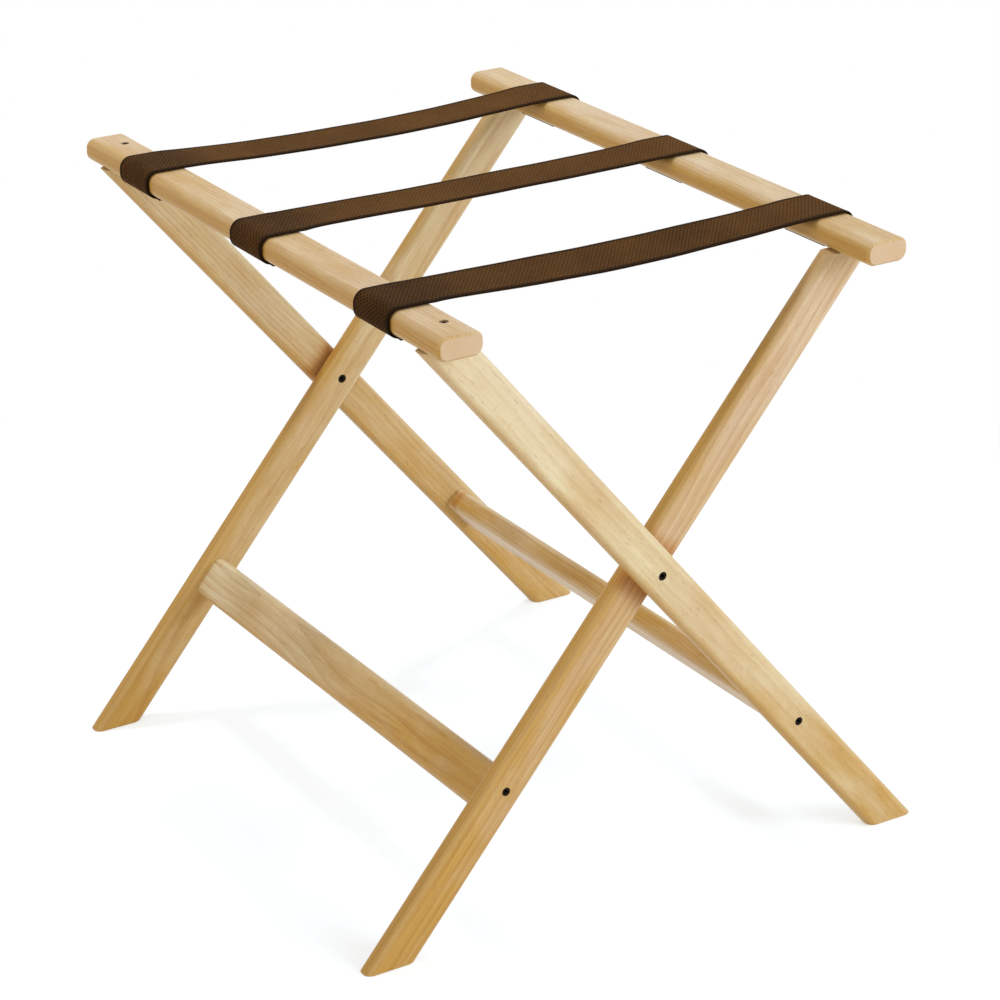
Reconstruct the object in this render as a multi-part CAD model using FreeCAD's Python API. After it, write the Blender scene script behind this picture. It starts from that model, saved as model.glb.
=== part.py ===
import FreeCAD, Part
import math
import os

# Folding hotel luggage bench: an outer and an inner leg frame of hardwood boards cross like scissors on
# two sleeve-nut pivots, and three webbing straps run over both rails and stop the frames when taut.
# Millimetres. X runs across the rails, Y along them with the front at -Y, Z up, and the origin lies on
# the floor under the middle. The outer frame carries the rail at -X, the inner frame the one at +X.

V = FreeCAD.Vector
OUTER = -1
INNER = 1
FRONT = -1
BACK = 1

# ---- Rails: flat boards with rounded long edges ----
RAIL_TOP_HEIGHT = 508.0
RAIL_LENGTH = 564.0
RAIL_WIDTH = 37.0
RAIL_THICKNESS = 18.5
RAIL_EDGE_RADIUS = 7.5
RAIL_END_CHAMFER = 2.0
RAIL_SPREAD = 367.0           # between the rails' centre lines, bench open

# ---- Legs: slanted boards, trimmed level at the floor and under the rails ----
LEG_WIDTH = 33.0
LEG_THICKNESS = 15.5
LEG_EDGE_RADIUS = 6.0
LEG_FOOT_SPREAD = 457.0       # between the legs' centre lines on the floor, bench open
LEG_HEAD_INSET = 3.5          # leg head's centre inboard of its rail's centre line
RAIL_OVERHANG = 21.0          # rail end past the outer leg's outer face
FOOT_CHAMFER = 1.0
FRAME_GAP = 2.5               # between an outer and an inner leg

# ---- Stretchers: boards flat in the plane of their legs ----
STRETCHER_WIDTH = 36.0
STRETCHER_THICKNESS = 19.0
STRETCHER_EDGE_RADIUS = 6.0
STRETCHER_HEIGHT = 117.0      # centre line above the floor

# ---- Wood screws with hexagon-socket heads, sunk in counterbores ----
SCREW_HEAD_DIAMETER = 7.0
SCREW_HEAD_HEIGHT = 3.4
SCREW_SHANK_DIAMETER = 4.0
SCREW_RECESS = 0.6            # head below the wood's face
RAIL_SCREW_BITE = 17.0        # below the seam of rail and leg head
STRETCHER_SCREW_BITE = 32.0   # past the seam of leg and stretcher
SOCKET_ACROSS_FLATS = 3.0
SOCKET_DEPTH = 2.0
STRETCHER_SCREW_RISE = {OUTER: 0.0, INNER: 6.0}  # up the leg from the stretcher's centre line

# ---- Stub tenons: leg heads into the rails, stretcher ends into the legs ----
HEAD_TENON_WIDTH = 16.0       # across the rail
HEAD_TENON_THICKNESS = 8.0
HEAD_TENON_HEIGHT = 10.0
END_TENON_WIDTH = 22.0        # up the leg
END_TENON_THICKNESS = 9.0
END_TENON_LENGTH = 8.0
TENON_SIDE_CLEARANCE = 0.1    # mortise to tenon
TENON_END_CLEARANCE = 0.5

# ---- Pivots: a screw in the outer leg draws up a sleeve nut that the inner leg turns on ----
PIVOT_SCREW_DIAMETER = 3.6
PIVOT_SCREW_BITE = 13.0       # thread inside the sleeve
SLEEVE_DIAMETER = 5.6
SLEEVE_HEAD_DIAMETER = 7.0
SLEEVE_HEAD_HEIGHT = 2.6
SLEEVE_BORE_SPARE = 1.5       # bore past the screw's point
SLEEVE_RUNNING_CLEARANCE = 0.05
SLEEVE_HEAD_CLEARANCE = 0.3
WASHER_DIAMETER = 18.0
WASHER_END_CLEARANCE = 0.2    # washer to the turning inner leg

# ---- Webbing straps and their staples ----
STRAP_WIDTH = 47.0
STRAP_THICKNESS = 2.0
STRAP_SAG = 4.5
STRAP_CLEARANCE = 0.3         # strap to wood
STRAP_EDGE_INSET = 14.5       # outer straps' edges to the inner legs' inner faces
STRAP_END_INSET = 3.0         # strap end to the rail's inboard lower rounding
HEM_LENGTH = 18.0             # doubled end under the rail
STAPLE_CROWN = 11.0
STAPLE_WIRE = 1.2
STAPLE_LEG = 11.0
STAPLE_SPREAD = 22.0          # between a strap end's two staples
STAPLE_STRAP_CLEARANCE = 0.3

HOLE_CLEARANCE = 0.05         # round a screw or staple in wood, on the radius

# ---- Places worked out from the sizes ----
LEG_HEAD_Z = RAIL_TOP_HEIGHT - RAIL_THICKNESS
RAIL_X = RAIL_SPREAD / 2
LEG_HEAD_X = RAIL_X - LEG_HEAD_INSET
LEG_FOOT_X = LEG_FOOT_SPREAD / 2
LEG_SLANT = math.atan2(LEG_HEAD_X + LEG_FOOT_X, LEG_HEAD_Z)
PIVOT_Z = LEG_HEAD_Z * LEG_FOOT_X / (LEG_HEAD_X + LEG_FOOT_X)
OUTER_LEG_FACE = RAIL_LENGTH / 2 - RAIL_OVERHANG
INNER_LEG_FACE = OUTER_LEG_FACE - LEG_THICKNESS - FRAME_GAP
LEG_FACE = {OUTER: OUTER_LEG_FACE, INNER: INNER_LEG_FACE}
STRAP_OFFSET = INNER_LEG_FACE - LEG_THICKNESS - STRAP_EDGE_INSET - STRAP_WIDTH / 2
FRAME_NAME = {OUTER: "outer", INNER: "inner"}
END_NAME = {FRONT: "front", BACK: "back"}


# ---- Small helpers ----
def cylinder(diameter, length, base, direction):
    return Part.makeCylinder(diameter / 2, length, base, direction)


def rounded_section(width, height, radius):
    """Closed outline in the XZ plane about the origin, its four corners rounded."""
    half_w, half_h, r = width / 2, height / 2, radius
    corners = [(half_w - r, half_h - r, 0), (r - half_w, half_h - r, 90),
               (r - half_w, r - half_h, 180), (half_w - r, r - half_h, 270)]
    arcs = []
    for cx, cz, start in corners:
        points = [V(cx + r * math.cos(math.radians(start + turn)), 0,
                    cz + r * math.sin(math.radians(start + turn))) for turn in (0, 45, 90)]
        arcs.append(Part.Arc(*points).toShape())
    edges = []
    for i, arc in enumerate(arcs):
        following = arcs[(i + 1) % len(arcs)]
        edges.append(arc)
        edges.append(Part.makeLine(arc.lastVertex().Point, following.firstVertex().Point))
    return Part.Wire(edges)


def edges_at(shape, axis, value):
    """Edges that lie wholly in the plane where the given coordinate has this value."""
    found = []
    for edge in shape.Edges:
        box = edge.BoundBox
        low, high = (box.YMin, box.YMax) if axis == "y" else (box.ZMin, box.ZMax)
        if abs(low - value) < 1e-4 and abs(high - value) < 1e-4:
            found.append(edge)
    return found


def cut_all(shape, tools):
    return shape.cut(Part.makeCompound(tools))


def centred_box(size_x, size_y, size_z, centre):
    corner = centre - V(size_x / 2, size_y / 2, size_z / 2)
    return Part.makeBox(size_x, size_y, size_z, corner)


# ---- The legs' slanted frame of reference ----
def leg_axis(frame):
    """Unit vector up the leg from its foot to its head."""
    return V(frame * math.sin(LEG_SLANT), 0, math.cos(LEG_SLANT))


def leg_point(frame, z):
    """The leg's centre line at this height, in the XZ plane."""
    share = z / LEG_HEAD_Z
    return V(frame * (LEG_HEAD_X * share - LEG_FOOT_X * (1 - share)), 0, z)


def turned_to_leg(shape, frame):
    """Turns a shape built upright about the Y axis so that its Z axis runs up the leg."""
    shape.rotate(V(0, 0, 0), V(0, 1, 0), frame * math.degrees(LEG_SLANT))
    return shape


# ---- Fasteners ----
def socket_head(diameter, height):
    """Cylinder head with a hexagon socket, its top at z = 0."""
    head = cylinder(diameter, height, V(0, 0, 0), V(0, 0, -1))
    reach = SOCKET_ACROSS_FLATS / math.sqrt(3)
    corners = [V(reach * math.cos(math.radians(60 * i)), reach * math.sin(math.radians(60 * i)),
                 -SOCKET_DEPTH) for i in range(7)]
    socket = Part.Face(Part.makePolygon(corners)).extrude(V(0, 0, SOCKET_DEPTH))
    return head.cut(socket)


def socket_screw(shank_diameter, length):
    """Screw along -Z, its head's top at z = 0 and its end at z = -length."""
    shank = cylinder(shank_diameter, length - SCREW_HEAD_HEIGHT,
                     V(0, 0, -SCREW_HEAD_HEIGHT), V(0, 0, -1))
    return socket_head(SCREW_HEAD_DIAMETER, SCREW_HEAD_HEIGHT).fuse(shank).removeSplitter()


def screw_hole(length):
    """Counterbore and pilot hole for a wood screw whose head's top lies SCREW_RECESS below z = 0."""
    bore = cylinder(SCREW_HEAD_DIAMETER + 2 * HOLE_CLEARANCE, SCREW_RECESS + SCREW_HEAD_HEIGHT,
                    V(0, 0, 0), V(0, 0, -1))
    pilot = cylinder(SCREW_SHANK_DIAMETER + 2 * HOLE_CLEARANCE, SCREW_RECESS + length,
                     V(0, 0, 0), V(0, 0, -1))
    return bore.fuse(pilot)


# ---- Rail joints: a stub tenon on each leg head, in the outer frame with a screw down through it ----
RAIL_SCREW_LENGTH = RAIL_THICKNESS - SCREW_RECESS + RAIL_SCREW_BITE


def leg_middle_y(frame, end):
    return end * (LEG_FACE[frame] - LEG_THICKNESS / 2)


def head_tenon(frame, end, side_clearance, end_clearance):
    """Tenon above the leg head, or with clearances the mortise that it fills."""
    height = HEAD_TENON_HEIGHT + end_clearance
    centre = V(frame * LEG_HEAD_X, leg_middle_y(frame, end), LEG_HEAD_Z + height / 2)
    return centred_box(HEAD_TENON_WIDTH + 2 * side_clearance,
                       HEAD_TENON_THICKNESS + 2 * side_clearance, height, centre)


def rail_screw_spot(end):
    return V(OUTER * LEG_HEAD_X, leg_middle_y(OUTER, end), RAIL_TOP_HEIGHT)


def rail_screw_hole(end):
    hole = screw_hole(RAIL_SCREW_LENGTH)
    hole.translate(rail_screw_spot(end))
    return hole


# ---- Stretcher joints: a stub tenon on each end, and a screw through the leg and the tenon ----
STRETCHER_SCREW_LENGTH = LEG_THICKNESS - SCREW_RECESS + STRETCHER_SCREW_BITE


def inward_turned(shape, end):
    """Turns a shape that points down -Z so that it points from this end of the bench to the middle."""
    shape.rotate(V(0, 0, 0), V(1, 0, 0), end * -90)
    return shape


def end_tenons(frame, side_clearance, end_clearance):
    """The stretcher's two tenons as one bar, or with clearances the bar that cuts their mortises."""
    reach = LEG_FACE[frame] - LEG_THICKNESS + END_TENON_LENGTH + end_clearance
    bar = centred_box(END_TENON_THICKNESS + 2 * side_clearance, 2 * reach,
                      END_TENON_WIDTH + 2 * side_clearance, V(0, 0, 0))
    bar = turned_to_leg(bar, frame)
    bar.translate(leg_point(frame, STRETCHER_HEIGHT))
    return bar


def stretcher_screw_spot(frame, end):
    rise = leg_axis(frame) * STRETCHER_SCREW_RISE[frame]
    return leg_point(frame, STRETCHER_HEIGHT) + rise + V(0, end * LEG_FACE[frame], 0)


def stretcher_screw_hole(frame, end):
    hole = inward_turned(screw_hole(STRETCHER_SCREW_LENGTH), end)
    hole.translate(stretcher_screw_spot(frame, end))
    return hole


# ---- Staples under the rails ----
STRAP_UNDER_RAIL = STRAP_CLEARANCE + 2 * STRAP_THICKNESS
STRAP_SPOTS = {"front": -STRAP_OFFSET, "middle": 0.0, "back": STRAP_OFFSET}
HEM_END_X = RAIL_X - RAIL_WIDTH / 2 + RAIL_EDGE_RADIUS + STRAP_END_INSET
STAPLE_X = HEM_END_X + HEM_LENGTH / 2


def staple_centres(frame):
    """Middle of each staple's crown, on the hem's lower face."""
    z = LEG_HEAD_Z - STRAP_UNDER_RAIL
    return [V(frame * STAPLE_X, y + side * STAPLE_SPREAD / 2, z)
            for y in STRAP_SPOTS.values() for side in (-1, 1)]


def staple_leg_tools(frame, clearance):
    """Square holes for the staples' legs, grown by the clearance on every side."""
    size = STAPLE_WIRE + 2 * clearance
    reach = STAPLE_CROWN / 2 - STAPLE_WIRE / 2
    tools = []
    for centre in staple_centres(frame):
        for side in (-1, 1):
            corner = centre + V(-size / 2, side * reach - size / 2, 0)
            tools.append(Part.makeBox(size, size, STAPLE_LEG + clearance, corner))
    return tools


def strap_staples(frame):
    staples = []
    for centre in staple_centres(frame):
        outer, inner = STAPLE_CROWN / 2, STAPLE_CROWN / 2 - STAPLE_WIRE
        low, high = -STAPLE_WIRE, STAPLE_LEG
        outline = [V(0, -outer, low), V(0, outer, low), V(0, outer, high), V(0, inner, high),
                   V(0, inner, 0), V(0, -inner, 0), V(0, -inner, high), V(0, -outer, high),
                   V(0, -outer, low)]
        staple = Part.Face(Part.makePolygon(outline)).extrude(V(STAPLE_WIRE, 0, 0))
        staple.translate(centre - V(STAPLE_WIRE / 2, 0, 0))
        staples.append(staple)
    return Part.makeCompound(staples)


# ---- Boards ----
def rail(frame):
    section = rounded_section(RAIL_WIDTH, RAIL_THICKNESS, RAIL_EDGE_RADIUS)
    board = Part.Face(section).extrude(V(0, RAIL_LENGTH, 0))
    ends = edges_at(board, "y", 0) + edges_at(board, "y", RAIL_LENGTH)
    board = board.makeChamfer(RAIL_END_CHAMFER, ends)
    board.translate(V(frame * RAIL_X, -RAIL_LENGTH / 2, RAIL_TOP_HEIGHT - RAIL_THICKNESS / 2))
    tools = staple_leg_tools(frame, HOLE_CLEARANCE)
    for end in (FRONT, BACK):
        tools.append(head_tenon(frame, end, TENON_SIDE_CLEARANCE, TENON_END_CLEARANCE))
        if frame == OUTER:
            tools.append(rail_screw_hole(end))
    return cut_all(board, tools)


def pivot_tools(frame, end):
    """Round holes that the pivot needs in one leg, for the outer or the inner frame."""
    outward = V(0, end, 0)
    face = V(0, end * LEG_FACE[frame], PIVOT_Z)
    if frame == OUTER:
        head = cylinder(SCREW_HEAD_DIAMETER + 2 * HOLE_CLEARANCE, SCREW_RECESS + SCREW_HEAD_HEIGHT,
                        face, -outward)
        through = cylinder(PIVOT_SCREW_DIAMETER + 2 * HOLE_CLEARANCE, LEG_THICKNESS, face, -outward)
    else:
        inner_face = face - outward * LEG_THICKNESS
        head = cylinder(SLEEVE_HEAD_DIAMETER + 2 * SLEEVE_HEAD_CLEARANCE,
                        SCREW_RECESS + SLEEVE_HEAD_HEIGHT + SLEEVE_HEAD_CLEARANCE,
                        inner_face, outward)
        through = cylinder(SLEEVE_DIAMETER + 2 * SLEEVE_RUNNING_CLEARANCE, LEG_THICKNESS,
                           face, -outward)
    return [head, through]


def leg(frame, end):
    """Rounded board along the leg's slant, trimmed level at the floor and at the rail's underside,
    with a stub tenon standing on its head."""
    reach = LEG_HEAD_Z / math.cos(LEG_SLANT) / 2 + LEG_WIDTH
    section = rounded_section(LEG_WIDTH, LEG_THICKNESS, LEG_EDGE_RADIUS)
    board = Part.Face(section).extrude(V(0, 2 * reach, 0))
    board.rotate(V(0, 0, 0), V(1, 0, 0), 90)
    board.translate(V(0, 0, -reach))
    board = turned_to_leg(board, frame)
    board.translate(leg_point(frame, LEG_HEAD_Z / 2) + V(0, leg_middle_y(frame, end), 0))
    span = 4 * reach
    slab = Part.makeBox(span, span, LEG_HEAD_Z, V(-span / 2, -span / 2, 0))
    board = board.common(slab)
    board = board.makeChamfer(FOOT_CHAMFER, edges_at(board, "z", 0))
    board = board.fuse(head_tenon(frame, end, 0, 0))
    tools = pivot_tools(frame, end) + [stretcher_screw_hole(frame, end)]
    tools.append(end_tenons(frame, TENON_SIDE_CLEARANCE, TENON_END_CLEARANCE))
    if frame == OUTER:
        tools.append(rail_screw_hole(end))
    return cut_all(board, tools)


def stretcher(frame):
    """Rounded board between a frame's legs, its wide faces in the plane of the legs."""
    length = 2 * (LEG_FACE[frame] - LEG_THICKNESS)
    section = rounded_section(STRETCHER_THICKNESS, STRETCHER_WIDTH, STRETCHER_EDGE_RADIUS)
    board = Part.Face(section).extrude(V(0, length, 0))
    board = turned_to_leg(board, frame)
    board.translate(leg_point(frame, STRETCHER_HEIGHT) - V(0, length / 2, 0))
    board = board.fuse(end_tenons(frame, 0, 0))
    return cut_all(board, [stretcher_screw_hole(frame, end) for end in (FRONT, BACK)])


# ---- Fasteners in their places ----
def rail_screws():
    screws = []
    for end in (FRONT, BACK):
        screw = socket_screw(SCREW_SHANK_DIAMETER, RAIL_SCREW_LENGTH)
        screw.translate(rail_screw_spot(end) - V(0, 0, SCREW_RECESS))
        screws.append(screw)
    return Part.makeCompound(screws)


def stretcher_screws(frame):
    screws = []
    for end in (FRONT, BACK):
        screw = inward_turned(socket_screw(SCREW_SHANK_DIAMETER, STRETCHER_SCREW_LENGTH), end)
        screw.translate(stretcher_screw_spot(frame, end) - V(0, end * SCREW_RECESS, 0))
        screws.append(screw)
    return Part.makeCompound(screws)


# ---- Pivots ----
def pivot_screw(end):
    """Machine screw through the outer leg, its point inside the sleeve nut."""
    length = LEG_THICKNESS - SCREW_RECESS + PIVOT_SCREW_BITE
    screw = inward_turned(socket_screw(PIVOT_SCREW_DIAMETER, length), end)
    screw.translate(V(0, end * (OUTER_LEG_FACE - SCREW_RECESS), PIVOT_Z))
    return screw


def pivot_sleeve(end):
    """Sleeve nut from the outer leg's inner face through the inner leg, with a sunk socket head."""
    length = FRAME_GAP + LEG_THICKNESS - SCREW_RECESS
    head = socket_head(SLEEVE_HEAD_DIAMETER, SLEEVE_HEAD_HEIGHT)
    barrel = cylinder(SLEEVE_DIAMETER, length - SLEEVE_HEAD_HEIGHT,
                      V(0, 0, -SLEEVE_HEAD_HEIGHT), V(0, 0, -1))
    bore = cylinder(PIVOT_SCREW_DIAMETER + 2 * HOLE_CLEARANCE, PIVOT_SCREW_BITE + SLEEVE_BORE_SPARE,
                    V(0, 0, -length), V(0, 0, 1))
    sleeve = inward_turned(head.fuse(barrel).removeSplitter().cut(bore), -end)
    inner_face = INNER_LEG_FACE - LEG_THICKNESS
    sleeve.translate(V(0, end * (inner_face + SCREW_RECESS), PIVOT_Z))
    return sleeve


def pivot_washer(end):
    """Spacer on the sleeve, against the outer leg and just clear of the inner one."""
    outward = V(0, end, 0)
    start = V(0, end * (OUTER_LEG_FACE - LEG_THICKNESS), PIVOT_Z)
    thickness = FRAME_GAP - WASHER_END_CLEARANCE
    disc = cylinder(WASHER_DIAMETER, thickness, start, -outward)
    bore = cylinder(SLEEVE_DIAMETER + 2 * HOLE_CLEARANCE, thickness, start, -outward)
    return disc.cut(bore)


# ---- Straps ----
def strap_outline(offset):
    """Half of the strap's path at this distance from the wood, from the sag's lowest point over the
    rail at +X, round its outer side and under it to the strap's end."""
    bend = RAIL_EDGE_RADIUS + offset
    corner_x = RAIL_X - RAIL_WIDTH / 2 + RAIL_EDGE_RADIUS
    outer_x = RAIL_X + RAIL_WIDTH / 2 - RAIL_EDGE_RADIUS
    high_z = RAIL_TOP_HEIGHT - RAIL_EDGE_RADIUS
    low_z = LEG_HEAD_Z + RAIL_EDGE_RADIUS
    lean = 2 * math.atan(STRAP_SAG / corner_x)
    sag_radius = corner_x / math.sin(lean) - bend
    sag_centre = V(0, 0, high_z + (sag_radius + bend) * math.cos(lean))

    def on_arc(centre, radius, angle):
        return centre + V(radius * math.sin(angle), 0, radius * math.cos(angle))

    corner = V(corner_x, 0, high_z)
    top_outer = V(outer_x, 0, high_z)
    low_outer = V(outer_x, 0, low_z)
    quarter, half = math.pi / 4, math.pi / 2
    lowest = on_arc(sag_centre, sag_radius, math.pi)
    leave = on_arc(corner, bend, -lean)
    flat_start = on_arc(corner, bend, 0)
    flat_end = on_arc(top_outer, bend, 0)
    side_high = on_arc(top_outer, bend, half)
    side_low = on_arc(low_outer, bend, half)
    under_start = on_arc(low_outer, bend, math.pi)
    under_end = V(HEM_END_X, 0, under_start.z)
    return [Part.Arc(lowest, on_arc(sag_centre, sag_radius, math.pi - lean / 2), leave).toShape(),
            Part.Arc(leave, on_arc(corner, bend, -lean / 2), flat_start).toShape(),
            Part.makeLine(flat_start, flat_end),
            Part.Arc(flat_end, on_arc(top_outer, bend, quarter), side_high).toShape(),
            Part.makeLine(side_high, side_low),
            Part.Arc(side_low, on_arc(low_outer, bend, 3 * quarter), under_start).toShape(),
            Part.makeLine(under_start, under_end)]


def mirrored_x(shape):
    return shape.mirror(V(0, 0, 0), V(1, 0, 0))


def strap(spot):
    """Webbing ribbon over both rails with a hem folded under each end, pierced by the staples."""
    near = strap_outline(STRAP_CLEARANCE)
    far = strap_outline(STRAP_CLEARANCE + STRAP_THICKNESS)
    near_end = near[-1].lastVertex().Point
    far_end = far[-1].lastVertex().Point
    near_start = near[0].firstVertex().Point
    far_start = far[0].firstVertex().Point
    loop = Part.Wire(Part.__sortEdges__(near + [Part.makeLine(near_end, far_end)] + far
                                        + [Part.makeLine(far_start, near_start)]))
    half_ribbon = Part.Face(loop).extrude(V(0, STRAP_WIDTH, 0))
    fold = Part.makeBox(HEM_LENGTH, STRAP_WIDTH, STRAP_THICKNESS,
                        far_end - V(0, 0, STRAP_THICKNESS))
    half_strap = half_ribbon.fuse(fold)
    whole = half_strap.fuse(mirrored_x(half_strap)).removeSplitter()
    whole.translate(V(0, STRAP_SPOTS[spot] - STRAP_WIDTH / 2, 0))
    holes = [tool for frame in (OUTER, INNER)
             for tool in staple_leg_tools(frame, STAPLE_STRAP_CLEARANCE)]
    return cut_all(whole, holes)


def build():
    nodes = {}
    for frame in (OUTER, INNER):
        name = FRAME_NAME[frame]
        nodes["rail_" + name] = rail(frame)
        nodes["stretcher_" + name] = stretcher(frame)
        nodes["stretcher_screws_" + name] = stretcher_screws(frame)
        nodes["strap_staples_" + name] = strap_staples(frame)
        for end in (FRONT, BACK):
            nodes["leg_" + name + "_" + END_NAME[end]] = leg(frame, end)
    nodes["rail_screws_outer"] = rail_screws()
    for end in (FRONT, BACK):
        nodes["pivot_screw_" + END_NAME[end]] = pivot_screw(end)
        nodes["pivot_sleeve_" + END_NAME[end]] = pivot_sleeve(end)
        nodes["pivot_washer_" + END_NAME[end]] = pivot_washer(end)
    for spot in STRAP_SPOTS:
        nodes["strap_" + spot] = strap(spot)
    return nodes


os.makedirs("parts", exist_ok=True)
for node_name, node_shape in build().items():
    node_shape.exportStep("parts/" + node_name + ".step")
    solids = node_shape.Solids
    print(node_name, len(solids), "solid(s), valid", node_shape.isValid(),
          "volume", round(sum(solid.Volume for solid in solids), 1))
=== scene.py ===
import math
from typing import NamedTuple

import bmesh
import bpy
from mathutils import Euler, Matrix, Vector


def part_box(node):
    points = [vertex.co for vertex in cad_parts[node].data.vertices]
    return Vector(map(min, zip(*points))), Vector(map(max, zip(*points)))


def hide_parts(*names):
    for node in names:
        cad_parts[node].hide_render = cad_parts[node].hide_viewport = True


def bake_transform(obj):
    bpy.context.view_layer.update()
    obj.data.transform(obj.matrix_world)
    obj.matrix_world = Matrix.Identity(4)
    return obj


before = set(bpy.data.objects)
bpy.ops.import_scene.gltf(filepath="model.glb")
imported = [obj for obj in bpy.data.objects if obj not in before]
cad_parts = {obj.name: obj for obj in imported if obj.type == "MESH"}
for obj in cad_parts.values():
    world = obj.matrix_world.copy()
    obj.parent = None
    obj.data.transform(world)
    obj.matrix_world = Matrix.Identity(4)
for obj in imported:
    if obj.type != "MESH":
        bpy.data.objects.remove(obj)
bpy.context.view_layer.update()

bl_info = {
    "name": "Luggage bench finish",
    "version": (1, 0, 0),
    "blender": (4, 5, 0),
    "location": "3D View > Sidebar > Bench",
    "description": "Lacquered beech, woven straps, fixings and studio of a folding luggage bench",
    "category": "Object",
}

# X runs across the two rails, Y along them with the front at -Y, Z up, in metres. The outer frame
# carries the rail at -X and the inner frame the one at +X.
RAIL_LOW, RAIL_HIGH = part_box("rail_inner")
STRAP_LOW, STRAP_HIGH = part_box("strap_middle")

OUTER = -1
INNER = 1
LEG_HEAD_X = 0.1800
LEG_FOOT_X = 0.2285
LEG_HEAD_Z = RAIL_LOW.z
LEG_SLANT = math.atan2(LEG_HEAD_X + LEG_FOOT_X, LEG_HEAD_Z)
LEG_WIDTH = 0.033
LEG_THICKNESS = 0.0155
LEG_EDGE_RADIUS = 0.006
RAIL_EDGE_RADIUS = 0.0075
STRETCHER_WIDTH = 0.036
STRETCHER_THICKNESS = 0.019
STRETCHER_EDGE_RADIUS = 0.006
STRETCHER_HEIGHT = 0.117


def linear(hex_colour):
    """The linear red, green and blue of an sRGB hex colour."""
    parts = [int(hex_colour[i:i + 2], 16) / 255 for i in (0, 2, 4)]
    return tuple(c / 12.92 if c <= 0.04045 else ((c + 0.055) / 1.055) ** 2.4 for c in parts)


def opaque(colour):
    return (*colour, 1.0)


def add_node(tree, kind, inputs=None, **settings):
    """Adds a node with its settings, and sets each named input or links it to a socket."""
    made = tree.nodes.new(kind)
    for name, value in settings.items():
        setattr(made, name, value)
    for key, value in (inputs or {}).items():
        if isinstance(value, bpy.types.NodeSocket):
            tree.links.new(value, made.inputs[key])
        else:
            made.inputs[key].default_value = value
    return made


def empty_material(name):
    """A material whose node tree holds nothing yet."""
    material = bpy.data.materials.new(name)
    material.use_nodes = True
    material.node_tree.nodes.clear()
    return material


def wear_material(material, *node_names):
    """Gives CAD nodes this material in every slot."""
    for node_name in node_names:
        if node_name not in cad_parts:
            raise RuntimeError("the frame has no node named " + node_name)
        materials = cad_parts[node_name].data.materials
        if not materials:
            materials.append(material)
        for i in range(len(materials)):
            materials[i] = material


# ---- Settings ----
class BENCH_PG_beech(bpy.types.PropertyGroup):
    """Sizes and colours of the beech boards"""

    pale: bpy.props.FloatVectorProperty(
        name="Pale wood", description="Sapwood between the growth rings", subtype="COLOR",
        size=3, min=0, max=1, default=linear("EDEBD0"))
    # Also the colour of the painted shade on the shaded narrow faces and towards the legs' feet.
    honey: bpy.props.FloatVectorProperty(
        name="Honey wood", description="Warmer patches of the boards", subtype="COLOR",
        size=3, min=0, max=1, default=linear("CDAA5A"))
    rose: bpy.props.FloatVectorProperty(
        name="Rosy wood", description="Pinkish clouds that steamed beech has", subtype="COLOR",
        size=3, min=0, max=1, default=linear("DECFBE"))
    latewood: bpy.props.FloatVectorProperty(
        name="Latewood", description="What the dark side of a growth ring does to the colour",
        subtype="COLOR", size=3, min=0, max=1, default=linear("D9B98C"))
    fleck: bpy.props.FloatVectorProperty(
        name="Ray fleck", description="Short brown dashes along the grain", subtype="COLOR",
        size=3, min=0, max=1, default=linear("8C5C30"))
    end_grain: bpy.props.FloatVectorProperty(
        name="End grain", description="Cut ends of the boards", subtype="COLOR",
        size=3, min=0, max=1, default=linear("DBC9B2"))
    # Painted shade: the colour that darkens the wood beside a joint, where one board shades another.
    contact_shade: bpy.props.FloatVectorProperty(
        name="Painted contact shade", description="Painted shade beside a joint",
        subtype="COLOR", size=3, min=0, max=1, default=linear("E2A63E"))
    ring_width: bpy.props.FloatProperty(
        name="Ring width", description="Between two growth rings", default=0.0032,
        min=0.001, max=0.01, unit="LENGTH")
    fibre_width: bpy.props.FloatProperty(
        name="Fibre width", description="Across one streak of fibres", default=0.0022,
        min=0.0005, max=0.01, unit="LENGTH")
    lacquer_roughness: bpy.props.FloatProperty(
        name="Lacquer roughness", description="Satin lacquer over the wood", default=0.24,
        min=0, max=1, subtype="FACTOR")


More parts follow.
